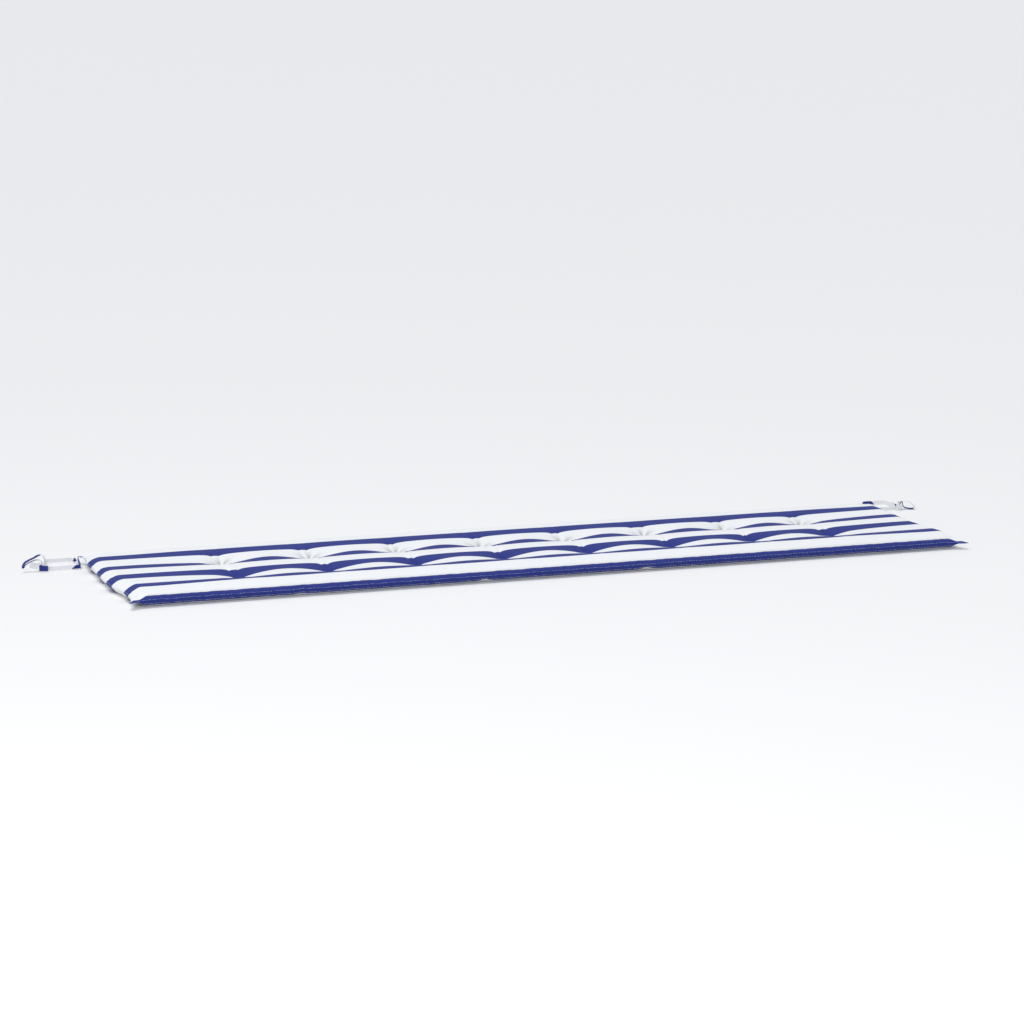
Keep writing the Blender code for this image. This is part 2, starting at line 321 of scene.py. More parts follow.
REAR_LOOP = (
    # backwards, outwards
    (0.0000, 0.0022),
    (0.0080, 0.0048),
    (0.0200, 0.0090),
    (0.0310, 0.0150),
    (0.0360, 0.0205),
    (0.0310, 0.0230),
    (0.0200, 0.0185),
    (0.0080, 0.0110),
    (0.0000, 0.0052),
)
REAR_END = ((0.0000, -0.0009), (0.0100, -0.0005), (0.0240, 0.0015), (0.0380, 0.0020))
FRONT_ENDS = {
    "left": (
        (0.0000, 0.0038),
        (-0.0040, 0.0095),
        (-0.0090, 0.0090),
        (-0.0130, 0.0020),
        (-0.0170, -0.0070),
    ),
    "right": (
        (0.0000, 0.0000),
        (-0.0060, 0.0005),
        (-0.0120, -0.0030),
        (-0.0160, -0.0110),
        (-0.0180, -0.0190),
    ),
}
# How far along each tape the middle of a blue stripe lies.  They are cut at 45 degrees to
# the stripes, so that one is 56 mm long on them and the white between is 86 mm.
BLUE_PLACES = {
    "left_front_tie": 0.046,
    "left_rear_tie": -0.008,
    "left_outer_loop": 0.051,
    "left_rear_loop": -0.026,
    "left_rear_end": 0.090,
    "left_front_end": 0.014,
    "right_front_tie": -0.026,
    "right_rear_tie": 0.072,
    "right_outer_loop": 0.078,
    "right_rear_loop": -0.026,
    "right_rear_end": 0.090,
    "right_front_end": 0.085,
}

# Stitching.  The real thread is about 0.4 mm thick, too fine to show, so it is drawn thicker.
STITCH_LENGTH = 0.0026
STITCH_GAP = 0.0014
THREAD_THICKNESS = 0.0010
# A stitch's ends are sunk, and each stitch lies a little lower or higher than the next: shares
# of the thread's thickness
THREAD_ENDS_SUNK = 0.45
STITCH_LIFTS = (-0.30, 0.35)
POINTS_ON_SEAM = 400

# The cloth's own threads are 0.5 mm apart, too fine to show, so they are drawn coarser
THREADS_ON_COVER = 0.0016
THREADS_ON_TIES = 0.0012
# A stripe's edge steps from thread to thread: it wanders by this much and is this soft
EDGE_WANDER = 0.0004
EDGE_SOFTNESS = 0.0006

# Colours of the floor, the cloth and the thread, as sRGB
CARD_WHITE = "#f2f2f2"
ROYAL_BLUE = "#283a94"
# The darker blue and the shaded white below are painted shade, for where the cloth's threads dip
SHADED_BLUE = "#1e2a70"
BRIGHT_WHITE = "#f6f6f7"
SHADED_WHITE = "#e9ebee"
# Painted shade for the pits round the tufts
PIT_SHADE_WHITE = "#b2b1ab"
TOPSTITCH_THREAD = "#b4bedf"
SEAM_THREAD = "#eceff6"


# ---------------------------------------------------------------- small helpers


def smooth_path(points, steps):
    """A Catmull-Rom curve through a few points."""
    path = [Vector(point) for point in points]
    path = [2 * path[0] - path[1]] + path + [2 * path[-1] - path[-2]]
    curve = []
    for before, start, end, after in zip(path, path[1:], path[2:], path[3:]):
        for i in range(steps):
            t = i / steps
            point = 2 * start + (end - before) * t
            point += (2 * before - 5 * start + 4 * end - after) * t**2
            point += (3 * start - before - 3 * end + after) * t**3
            curve.append(point / 2)
    return curve + [path[-2]]


def smoothstep(low, high, value):
    t = np.clip((value - low) / (high - low), 0.0, 1.0)
    return t * t * (3.0 - 2.0 * t)


def linear(hex_colour):
    """An sRGB hex colour as linear RGBA."""
    parts = [int(hex_colour[i : i + 2], 16) / 255 for i in (1, 3, 5)]
    return [p / 12.92 if p <= 0.04045 else ((p + 0.055) / 1.055) ** 2.4 for p in parts] + [1.0]


def start_piece(name):
    """What was just added is the new piece, and the only thing selected."""
    piece = bpy.context.object
    piece.name = name
    piece.data.name = name
    return piece


def deselect_all():
    bpy.ops.object.select_all(action="DESELECT")


def points_of(piece):
    places = np.empty(len(piece.data.vertices) * 3)
    piece.data.vertices.foreach_get("co", places)
    return places.reshape(-1, 3)


def place_points(piece, places):
    piece.data.vertices.foreach_set("co", np.asarray(places, dtype=np.float32).ravel())
    piece.data.update()


def set_pattern(piece, along_and_across):
    """Writes the cloth's own coordinates, in metres, to the piece's UV map."""
    layer = piece.data.uv_layers.new(name="cloth")
    corners = np.empty(len(piece.data.loops), dtype=np.int32)
    piece.data.loops.foreach_get("vertex_index", corners)
    layer.data.foreach_set("uv", np.asarray(along_and_across, dtype=np.float32)[corners].ravel())


# ---------------------------------------------------------------- camera, floor, light


def make_camera():
    data = bpy.data.cameras.new("camera")
    data.lens = LENS
    data.sensor_width = SENSOR_WIDTH
    camera = bpy.data.objects.new("camera", data)
    bpy.context.scene.collection.objects.link(camera)
    camera.location = CAMERA_PLACE
    aim = Euler((math.radians(90 - CAMERA_PITCH), 0.0, math.radians(-CAMERA_YAW))).to_matrix()
    roll = Matrix.Rotation(math.radians(CAMERA_ROLL), 3, "Z")
    camera.rotation_euler = (aim @ roll).to_euler()
    bpy.context.scene.camera = camera


def make_floor():
    deselect_all()
    bpy.ops.mesh.primitive_plane_add(size=FLOOR_SIZE, location=(0.0, 0.0, FLOOR_HEIGHT))
    floor = start_piece("floor")
    floor.data.materials.append(pale_floor())


def make_light():
    world = bpy.data.worlds.new("soft studio")
    world.use_nodes = True
    sky = world.node_tree.nodes["Background"]
    sky.inputs["Color"].default_value = SKY_COLOUR
    sky.inputs["Strength"].default_value = SKY_STRENGTH
    bpy.context.scene.world = world
    bpy.context.scene.view_settings.view_transform = "Standard"
    for name, kind, place, size, power in LIGHTS:
        data = bpy.data.lights.new(name, kind)
        data.energy = power
        if kind == "SUN":
            data.angle = size
        else:
            data.size = size
        light = bpy.data.objects.new(name, data)
        bpy.context.scene.collection.objects.link(light)
        light.location = place
        light.rotation_euler = (-Vector(place)).to_track_quat("-Z", "Y").to_euler()


# ---------------------------------------------------------------- materials


def add_node(material, kind, settings=None, **links):
    """Adds a node.  A setting is one of the node's own or an input's, by name or number, and a
    link's name is the input's, or its number after an underscore."""
    tree = material.node_tree
    node = tree.nodes.new(kind)
    for name, value in (settings or {}).items():
        if isinstance(name, int) or name in node.inputs:
            node.inputs[name].default_value = value
        else:
            setattr(node, name, value)
    for name, source in links.items():
        key = int(name[1:]) if name[1:].isdigit() else name
        tree.links.new(source, node.inputs[key])
    return node


def new_material(name, roughness):
    material = bpy.data.materials.new(name)
    material.use_nodes = True
    shader = material.node_tree.nodes["Principled BSDF"]
    shader.inputs["Roughness"].default_value = roughness
    shader.inputs["Metallic"].default_value = 0.0
    shader.inputs["IOR"].default_value = 1.5
    return material, shader


def pale_floor():
    """Smooth matt studio card: an even pale sheet that only takes soft shadows.

    Its grain is 2.5 mm long and very shallow, which keeps it from shining.
    """
    material, shader = new_material("matt studio card", 0.9)
    shader.inputs["Base Color"].default_value = linear(CARD_WHITE)
    place = add_node(material, "ShaderNodeTexCoord").outputs["Object"]
    grain = add_node(material, "ShaderNodeTexNoise", {"Scale": 400.0}, Vector=place)
    bump = add_node(
        material,
        "ShaderNodeBump",
        {"Strength": 0.02, "Distance": 0.0002},
        Height=grain.outputs["Fac"],
    )
    material.node_tree.links.new(bump.outputs["Normal"], shader.inputs["Normal"])
    return material


def woven_polyester(name, thread):
    """Spun polyester canvas, yarn-dyed in stripes and plain woven: matt, with a dry, even grain.

    thread is the spacing at which its threads are drawn.
    """
    material, shader = new_material(name, 0.82)
    shader.inputs["Sheen Weight"].default_value = 0.05
    shader.inputs["Sheen Roughness"].default_value = 0.5
    shader.inputs["Specular IOR Level"].default_value = 0.35
    cloth = add_node(material, "ShaderNodeUVMap", {"uv_map": "cloth"}).outputs["UV"]
    split = add_node(material, "ShaderNodeSeparateXYZ", Vector=cloth)

    # The stripe's edge steps from thread to thread, so it wanders by a fraction of one.  One
    # step of the noise is about 4 mm.
    noise = add_node(material, "ShaderNodeTexNoise", {"Scale": 260.0}, Vector=cloth)
    wandering = add_node(
        material,
        "ShaderNodeMath",
        {"operation": "MULTIPLY_ADD", 1: EDGE_WANDER},
        _0=noise.outputs["Fac"],
        _2=split.outputs["Y"],
    )
    centred = add_node(
        material,
        "ShaderNodeMath",
        {"operation": "SUBTRACT", 1: STRIPE_PLACE + EDGE_WANDER / 2},
        _0=wandering.outputs[0],
    )
    counted = add_node(
        material,
        "ShaderNodeMath",
        {"operation": "DIVIDE", 1: STRIPE_PERIOD},
        _0=centred.outputs[0],
    )
    from_stripe = add_node(
        material, "ShaderNodeMath", {"operation": "PINGPONG", 1: 0.5}, _0=counted.outputs[0]
    )
    soft = EDGE_SOFTNESS / STRIPE_PERIOD
    half = STRIPE_WIDTH / 2 / STRIPE_PERIOD
    is_white = add_node(
        material,
        "ShaderNodeMapRange",
        {"interpolation_type": "SMOOTHSTEP", "From Min": half - soft, "From Max": half + soft},
        Value=from_stripe.outputs[0],
    )

    # Threads: one sine each way, the over-and-under of a plain weave where they cross.
    waves = []
    for place in (split.outputs["X"], split.outputs["Y"]):
        turn = add_node(
            material, "ShaderNodeMath", {"operation": "MULTIPLY", 1: math.pi / thread}, _0=place
        )
        waves.append(
            add_node(material, "ShaderNodeMath", {"operation": "SINE"}, _0=turn.outputs[0])
        )
    crossing = add_node(
        material,
        "ShaderNodeMath",
        {"operation": "MULTIPLY"},
        _0=waves[0].outputs[0],
        _1=waves[1].outputs[0],
    )
    # Slubs: a thread is thicker here and there, over about three of its widths.
    slub = add_node(
        material, "ShaderNodeTexNoise", {"Scale": 0.35 / thread, "Detail": 3.0}, Vector=cloth
    )
    height = add_node(
        material,
        "ShaderNodeMath",
        {"operation": "MULTIPLY_ADD", 1: 0.5},
        _0=crossing.outputs[0],
        _2=slub.outputs["Fac"],
    ).outputs[0]

    # Painted shade in the weave: each colour is a little darker where its threads dip, and the
    # slubs make it uneven.
    shade = add_node(
        material, "ShaderNodeMapRange", {"From Min": -0.1, "From Max": 1.3}, Value=height
    ).outputs[0]
    blue, white = (
        add_node(
            material,
            "ShaderNodeMix",
            {"data_type": "RGBA", 6: linear(low), 7: linear(high)},
            _0=shade,
        ).outputs[2]
        for low, high in ((SHADED_BLUE, ROYAL_BLUE), (SHADED_WHITE, BRIGHT_WHITE))
    )
    # Where a tuft gathers the cloth into folds too fine to model, their shade is painted: the
    # white goes greyer.
    pit_shade = add_node(material, "ShaderNodeAttribute", {"attribute_name": "pit_shade"})
    white = add_node(
        material,
        "ShaderNodeMix",
        {"data_type": "RGBA", 7: linear(PIT_SHADE_WHITE)},
        _0=pit_shade.outputs["Fac"],
        _6=white,
    ).outputs[2]
    colour = add_node(
        material,
        "ShaderNodeMix",
        {"data_type": "RGBA"},
        _0=is_white.outputs[0],
        _6=blue,
        _7=white,
    )
    bump = add_node(
        material, "ShaderNodeBump", {"Strength": 0.35, "Distance": 0.0004}, Height=height
    )
    links = material.node_tree.links
    links.new(colour.outputs[2], shader.inputs["Base Color"])
    links.new(bump.outputs["Normal"], shader.inputs["Normal"])


def sewing_thread(name, colour):
    """Twisted polyester sewing thread: a fine cord with a slight shine and a slanting twist.

    One turn of the twist is 0.7 mm long, a little less than the thread is thick.
    """
    material, shader = new_material(name, 0.55)
    shader.inputs["Base Color"].default_value = linear(colour)
    place = add_node(material, "ShaderNodeTexCoord").outputs["Object"]
    twist = add_node(
        material,
        "ShaderNodeTexWave",
        {"bands_direction": "DIAGONAL", "Scale": 900.0, "Distortion": 0.5},
        Vector=place,
    ).outputs["Fac"]
    bump = add_node(
        material, "ShaderNodeBump", {"Strength": 0.4, "Distance": 0.0002}, Height=twist
    )
    material.node_tree.links.new(bump.outputs["Normal"], shader.inputs["Normal"])


# ---------------------------------------------------------------- the cover's form


def tuft_columns():
    first = TUFT_SHIFT - (TUFT_COLUMNS - 1) / 2 * TUFT_PITCH
    return [first + i * TUFT_PITCH for i in range(TUFT_COLUMNS)]


COLUMNS = tuft_columns()
TUFTS = [(x, row * TUFT_ROW_OFFSET) for x in COLUMNS for row in (-1, 1)]


def smooth_table(table):
    """The table's two columns, with a smooth curve drawn through its rows."""
    path = smooth_path([(*row, 0.0) for row in table], STEPS_IN_TABLE)
    return [point.x for point in path], [point.y for point in path]


def wander(places, longest, seed):
    """A smooth random line between about -1 and 1: waves of four lengths, added up."""
    chance = np.random.default_rng(seed)
    total = np.zeros_like(places)
    for octave in range(4):
        turn = 2 * math.pi * places * WAVE_RATIO**octave / longest
        total += np.sin(turn + chance.uniform(0.0, FULL_TURN)) * chance.uniform(0.4, 1.0)
    return total / 2.0


def tuft_pull(x, y):
    """How far each tuft draws the panel down: its funnel, and two creases that part from it."""
    chance = np.random.default_rng(4)
    pull = np.zeros_like(x)
    for tuft_x, tuft_y in TUFTS:
        along, across = x - tuft_x, y - tuft_y
        away = np.hypot(np.hypot(along * TUFT_STRETCH, across), TUFT_ROUND) - TUFT_ROUND
        depth = TUFT_DEPTH if tuft_y < 0.0 else REAR_TUFT_DEPTH
        pull += depth * np.exp(-away / TUFT_RUN)
        spreads = chance.uniform(*CREASE_SPREAD, 2) * (-1, 1)
        depths = chance.uniform(*CREASE_UNEVEN, 2) * CREASE_DEPTH
        for spread, deep in zip(spreads, depths):
            aside = np.abs(along - spread * np.abs(across) - spread * CREASE_START)
            crease = np.exp(-aside / (CREASE_RUN + CREASE_WIDENING * np.abs(across)))
            pull += deep * crease * np.exp(-((across / CREASE_LENGTH) ** 2))
        folds = chance.integers(*FOLDS_ROUND_TUFT)
        turn = np.arctan2(across, along * FOLD_STRETCH) * folds + chance.uniform(0.0, FULL_TURN)
        from_tuft = np.hypot(along * FOLD_STRETCH, across)
        strength = smoothstep(*FOLD_FROM, from_tuft) * np.exp(-((from_tuft / FOLD_REACH) ** 2))
        # A second, finer wave makes the folds unequal.
        pull += FOLD_HEIGHT * strength * (np.sin(turn) + 0.4 * np.sin(2.3 * turn))
    return pull


def pit_shade_amounts(x, y):
    """How much painted shade the cloth gets in the pits round the tufts, from 0 to 1, in facets.
    """
    chance = np.random.default_rng(9)
    total = np.zeros_like(x)
    for tuft_x, tuft_y in TUFTS:
        along, across = x - tuft_x, y - tuft_y
        away = np.hypot(along * PIT_SHADE_STRETCH, across - PIT_SHADE_BEHIND)
        turn = np.arctan2(across, along) * chance.integers(*SHADE_FACETS_ROUND_TUFT)
        facets = 0.45 + 0.55 * np.sin(turn + chance.uniform(0.0, FULL_TURN))
        total += np.exp(-((away / PIT_SHADE_RUN) ** 2)) * facets
    return np.clip(total, 0.0, 1.0)


def pillow(x, y):
    """How far the fill stands up between two columns of tufts, and sinks at a column."""
    wave = -np.cos(2 * math.pi * (x - COLUMNS[0]) / TUFT_PITCH)
    wave = np.where(np.abs(x - TUFT_SHIFT) > COLUMNS[-1] + TUFT_PITCH / 4, 0.0, wave)
    return wave * sum(
        rise * np.exp(-(((y - place) / PILLOW_REACH) ** 2)) for place, rise in PILLOWS
    )


def end_reach(x, y):
    """How far out an end reaches at this depth, because the pad isn't quite square."""
    kept = 1.0 - LEFT_LOSS * smoothstep(*LEFT_LOSS_FROM, y)
    left = LEFT_REACH * smoothstep(*LEFT_REACH_FROM, y) * kept
    right = -RIGHT_HOLLOW * np.exp(-(((y - RIGHT_HOLLOW_PLACE) / RIGHT_HOLLOW_WIDTH) ** 2))
    return np.where(x < 0.0, left, right)


def crown_height(x, y):
    """Height of the upper panel: its crown, pulled down by the tufts and drawn in at the ends."""
    crown = np.interp(y, *smooth_table(CROWN_PROFILE)) + pillow(x, y)
    plain = np.interp(y, *zip(*END_PROFILE))
    blend = END_BLEND * smoothstep(*END_BLEND_FROM, np.abs(x))
    crown = crown * (1.0 - blend) + plain * blend - tuft_pull(x, y)
    crown = TUFT_LOW + np.logaddexp(0.0, (crown - TUFT_LOW) / TUFT_LOW_BEND) * TUFT_LOW_BEND
    inset, shoulder = RIM_SECTION[SHOULDER]
    to_end = LENGTH / 2 + end_reach(x, y) - DRAW_IN - inset - np.abs(x)
    to_side = DEPTH / 2 - DRAW_IN - inset - np.abs(y)
    rise = np.sin(math.pi / 2 * np.clip(to_end / END_RUN, 0.0, 1.0))
    crown = shoulder + (crown - shoulder) * rise
    to_rim = np.minimum(to_end, to_side)
    fades = np.exp(-np.maximum(to_rim, 0.0) / PUCKER_REACH)
    puckers = np.where(
        to_end < to_side, wander(y, END_WAVE, seed=11), wander(x, SIDE_WAVE, seed=12)
    )
    crown = np.where(to_rim < HARDLY_ANY, shoulder, crown)
    return crown + PUCKER_HEIGHT * fades * puckers


def underside_height(x, y):
    """The underside is flat but for a small dimple under each tuft."""
    height = np.zeros_like(x)
    for tuft_x, tuft_y in TUFTS:
        near = np.hypot(x - tuft_x, y - tuft_y) / UNDER_TUFT_RUN
        height += UNDER_TUFT_DEPTH * np.exp(-(near**2))
    return height


def ear(along):
    """How much of a corner's reach is left at this distance from it along an edge."""
    return np.exp(-((along / EAR_RUN) ** EAR_BEND))


def cover_points(x, y, line):
    """Where the points of the plain block go.  line is each one's row of RIM_SECTION."""
    rim = np.array(RIM_SECTION)
    inset, height = rim[line, 0], rim[line, 1]
    at_end = smoothstep(END_SHARE, 1.0, np.abs(x) / (LENGTH / 2))
    at_side = smoothstep(SIDE_SHARE, 1.0, np.abs(y) / (DEPTH / 2))
    from_end = LENGTH / 2 - np.abs(x)
    from_side = DEPTH / 2 - np.abs(y)
    # The rolled rim puckers along its stitching, and its foot stands off here and there.
    along = np.where(from_end < from_side, y, x)
    on_roll = (line > SEAM_LINE) & (line <= CREASE_LINE)
    out = PUCKER_HEIGHT * wander(along, ROLL_WAVE_OUT, seed=13)
    up = PUCKER_HEIGHT * wander(along, ROLL_WAVE_UP, seed=14)
    inset = inset + np.where(on_roll, out, 0.0)
    height = height + np.where(on_roll, up, 0.0)
    at_front = (y < 0.0) & (from_side < from_end)
    for i in (0, 1):
        plain = np.where(from_side < from_end, REAR_ROLL[i], END_ROLL[i])
        height = np.where((line == CREASE_LINE - 1 + i) & ~at_front, plain, height)
    on_foot = smoothstep(0.0, FOOT_LINE, line) * (1.0 - line / STITCH_LINE)
    on_foot = np.where((line > 0) & (line < STITCH_LINE), on_foot, 0.0)
    lifts = FOOT_LIFT * (1.0 + wander(along, FOOT_WAVE, seed=15))
    for place, lift, width in FOOT_LIFTS:
        on_front = (y < 0.0) & (from_side < FOOT_REACH)
        lifts = lifts + np.where(on_front, lift * np.exp(-(((x - place) / width) ** 2)), 0.0)
    height = height + on_foot * lifts
    drawn = inset + DRAW_IN * (1.0 - ear(from_side)) - end_reach(x, y)
    new_x = x - np.sign(x) * drawn * at_end
    new_y = y - np.sign(y) * (inset + DRAW_IN * (1.0 - ear(from_end))) * at_side
    height = np.where(line == SHOULDER, crown_height(new_x, new_y), height)
    height = np.where(line == 0, underside_height(new_x, new_y), height)
    fullness = smoothstep(*EAR_THIN_RUN, np.hypot(from_end, from_side))
    thickness = EAR_THIN + (1.0 - EAR_THIN) * fullness
    return np.stack([new_x, new_y, EAR_HEIGHT + (height - EAR_HEIGHT) * thickness], axis=1)


def cut_block():
    """A grid, extruded down to a closed slab.  Its walls are cut once for each line of the rim."""
    deselect_all()
    bpy.ops.mesh.primitive_grid_add(
        x_subdivisions=CELLS_ALONG, y_subdivisions=CELLS_ACROSS, size=1.0
    )
    slab = start_piece("cushion_cover")
    bpy.ops.object.mode_set(mode="EDIT")
    bpy.ops.transform.resize(value=(LENGTH, DEPTH, 1.0))
    bpy.ops.mesh.extrude_region_move(TRANSFORM_OT_translate={"value": (0.0, 0.0, SHOULDER)})
    bpy.ops.mesh.select_all(action="DESELECT")
    shape = bmesh.from_edit_mesh(slab.data)
    for edge in shape.edges:
        low, high = (vertex.co.z for vertex in edge.verts)
        edge.select = abs(high - low) > SHOULDER / 2
    bmesh.update_edit_mesh(slab.data)
    bpy.ops.mesh.subdivide(number_cuts=SHOULDER - 1)
    bpy.ops.mesh.select_all(action="SELECT")
    bpy.ops.mesh.normals_make_consistent(inside=False)
    bpy.ops.object.mode_set(mode="OBJECT")
    return slab


def crowded(places, first, pitch, reach, share):
    """Draws grid lines together round places that lie a pitch apart, as far out as a reach."""
    turn = 2 * math.pi * (places - first) / pitch
    moved = places - share * pitch / (2 * math.pi) * np.sin(turn)
    return np.where(np.abs(places) < reach, moved, places)


def gathered(x, y):
    """How far along its own width the cloth is drawn, as it is gathered to the tufts."""
    drawn = np.zeros_like(x)
    for tuft_x, tuft_y in TUFTS:
        along, across = (x - tuft_x) / PULL_ALONG, y - tuft_y
        near = across / PULL_NEAR
        fades = np.exp(-(along**2) - (across / PULL_ACROSS) ** 2)
        drawn += CLOTH_PULL * fades * near / np.sqrt(1.0 + near**2)
    amount, place, width = FRONT_EASE
    drawn += amount * np.exp(-(((y - place) / width) ** 2))
    amount, place, width, length = FRONT_PULL
    for tuft_x in COLUMNS:
        near = np.exp(-(((x - tuft_x) / length) ** 2) - ((y - place) / width) ** 2)
        drawn -= amount * near
    return drawn


def make_cover():
    cover = cut_block()
    block = points_of(cover)
    line = np.rint(block[:, 2]).astype(int)
    x = crowded(block[:, 0], COLUMNS[0], TUFT_PITCH, TUFT_PITCH * TUFT_COLUMNS / 2, CROWDED_ALONG)
    rows = 2 * TUFT_ROW_OFFSET
    y = crowded(block[:, 1], TUFT_ROW_OFFSET, rows, rows, CROWDED_ACROSS)
    places = cover_points(x, y, line)
    place_points(cover, places)

    # The cloth's own coordinates: the front crease and the rear roll each take up some of it.
    across = places[:, 1].copy()
    on_roll = (y < HARDLY_ANY - DEPTH / 2) & (line < SHOULDER) & (line > PANEL_LINE)
    across[on_roll] -= CLOTH_IN_CREASE
    across -= CLOTH_IN_ROLL * smoothstep(*CLOTH_IN_ROLL_FROM, places[:, 1])
    across += gathered(places[:, 0], places[:, 1])
    set_pattern(cover, np.stack([places[:, 0], across], axis=1))
    # Painted shade for the pits round the tufts, on the upper panel only
    pit_shade = cover.data.attributes.new("pit_shade", "FLOAT", "POINT")
    shade = np.where(line == SHOULDER, pit_shade_amounts(places[:, 0], places[:, 1]), 0.0)
    pit_shade.data.foreach_set("value", shade.astype(np.float32))
    cover.data.shade_smooth()
    cover.data.materials.append(bpy.data.materials["striped polyester canvas"])
    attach(cover, "root")
    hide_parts("cushion")


# ---------------------------------------------------------------- ties and bows


def rounded_path(corners):
    """A path with round corners, and with points every few millimetres in between."""
    corners = [Vector(corner) for corner in corners]
    path = corners[:1]
    for before, corner, after in zip(corners, corners[1:], corners[2:]):
        into = (corner - before).normalized()
        away = (after - corner).normalized()
        reach = TURN_RADIUS * math.tan(into.angle(away) / 2)
        start = corner - into * reach
        end = corner + away * reach
        for t in (0, 0.25, 0.5, 0.75, 1):
            path.append(start.lerp(corner, t).lerp(corner.lerp(end, t), t))
    path += corners[-1:]
    fine = path[:1]
    for start, end in zip(path, path[1:]):
        pieces = max(1, math.ceil((end - start).length / TIE_STEP))
        fine += [start.lerp(end, (i + 1) / pieces) for i in range(pieces)]
    return fine


def make_tape(node, path, sideways, width=TIE_WIDTH):
    """A folded and sewn tape along a path.  sideways is its width's direction at each point."""
    runs = [0.0]
    for before, point in zip(path, path[1:]):
        runs.append(runs[-1] + (point - before).length)
    deselect_all()
    bpy.ops.mesh.primitive_grid_add(x_subdivisions=len(path) - 1, y_subdivisions=6, size=1.0)
    tape = start_piece(f"{node}_cloth")
    places, cloth = [], []
    for x, y, _ in points_of(tape):
        i = round((x + 0.5) * (len(path) - 1))
        before, after = path[max(0, i - 1)], path[min(len(path) - 1, i + 1)]
        forwards = (after - before).normalized()
        wide = sideways[i] - forwards * sideways[i].dot(forwards)
        places.append(tuple(path[i] + wide.normalized() * y * (width - ROOM_FOR_EDGES)))
        slant = (runs[i] - BLUE_PLACES[node] + y * width) / math.sqrt(2)
        cloth.append((runs[i] + y * width, STRIPE_PLACE + slant))
    place_points(tape, places)
    set_pattern(tape, cloth)
    solid = tape.modifiers.new("cloth folded in four", "SOLIDIFY")
    solid.thickness = CLOTH_THICKNESS
    solid.offset = 0.0
    rounded = tape.modifiers.new("folded edges", "BEVEL")
    rounded.width = FOLDED_EDGE
    rounded.segments = 2
    rounded.limit_method = "ANGLE"
    rounded.angle_limit = math.radians(60)
    for modifier in ("cloth folded in four", "folded edges"):
        bpy.ops.object.modifier_apply(modifier=modifier)
    tape.data.shade_smooth()
    tape.data.materials.append(bpy.data.materials["tie cut across the stripes"])
    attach(tape, "root")
    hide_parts(node)


def route_of_tie(root, corners, side):
    """A tie's path from its root to its knot, and the direction of its width along it."""
    path = rounded_path([root] + [(side * x, y, TIE_MIDDLE) for x, y in corners])
    sideways, run = [], 0.0
    for before, point, after in zip(path[:1] + path, path, path[1:] + path[-1:]):
        run += (point - before).length
        flat = 1.0 - float(smoothstep(0.0, TWIST_RUN, run))
        level = (after - before).cross(Vector((0.0, 0.0, 1.0))).normalized()
        sideways.append(Vector((0.0, 0.0, 1.0)) * (1.0 - flat) + level * flat * side)
    return path, sideways


def make_knot(name, node, middle):
    """An overhand knot of the two tapes: a soft block with a slanting groove between them."""
    deselect_all()
    bpy.ops.mesh.primitive_cube_add(size=1.0)
    knot = start_piece(name)
    bpy.ops.object.mode_set(mode="EDIT")
    bpy.ops.transform.resize(value=(KNOT_OUT, KNOT_DEPTH, KNOT_HEIGHT))
    bpy.ops.mesh.subdivide(number_cuts=5)
    bpy.ops.object.mode_set(mode="OBJECT")
    size = np.array([KNOT_OUT, KNOT_DEPTH, KNOT_HEIGHT]) / 2
    unit = points_of(knot) / size
    reach = (np.abs(unit) ** KNOT_SQUARENESS).sum(axis=1) ** (1 / KNOT_SQUARENESS)
    round_unit = unit / reach[:, None]
    groove = np.exp(-(((unit[:, 2] - GROOVE_SLANT * unit[:, 1]) / GROOVE_WIDTH) ** 2))
    round_unit *= (1.0 - GROOVE_DEPTH * groove)[:, None]
    place_points(knot, round_unit * size + np.array(middle))
    smooth = knot.modifiers.new("soft folds", "SUBSURF")
    smooth.levels = smooth.render_levels = 1
    bpy.ops.object.modifier_apply(modifier="soft folds")
    white = np.full(len(knot.data.vertices), STRIPE_PLACE + STRIPE_PERIOD / 2)
    set_pattern(knot, np.stack([points_of(knot)[:, 0], white], axis=1))
    knot.data.shade_smooth()
    knot.data.materials.append(bpy.data.materials["tie cut across the stripes"])
    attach(knot, "root")
    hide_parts(node)


def make_bow(name, side, middle, turn):
    """The knot, and what stands out from it: two loops and two free ends."""
    make_knot(f"{name}_knot_cloth", f"{name}_knot", middle)
    angle = math.radians(turn)
    outwards = Vector((side * math.cos(angle), -math.sin(angle), 0.0))
    wide = Vector((side * math.sin(angle), math.cos(angle), 0.0))
    top = middle + Vector((0.0, 0.0, KNOT_HEIGHT / 2 + CLEAR))
    path = [top + outwards * out + Vector((0.0, 0.0, up)) for out, up in OUTER_LOOPS[name]]
    path = smooth_path(path, STEPS_IN_PATH)
    make_tape(f"{name}_outer_loop", path, [wide] * len(path))
    reach = Vector((0.0, KNOT_DEPTH / 2 + CLEAR, 0.0))
    for piece, table, place in (
        ("rear_loop", REAR_LOOP, middle + reach),
        ("rear_end", REAR_END, middle + reach),
        ("front_end", FRONT_ENDS[name], middle - reach),
    ):
        width = OPEN_END_WIDTH if piece == "front_end" else TIE_WIDTH
        up = TIE_MIDDLE + (width - TIE_WIDTH) / 2
        path = [Vector((place.x + side * out, place.y + back, up)) for back, out in table]
        path = smooth_path(path, STEPS_IN_PATH)
        make_tape(f"{name}_{piece}", path, [Vector((0.0, 0.0, 1.0))] * len(path), width=width)


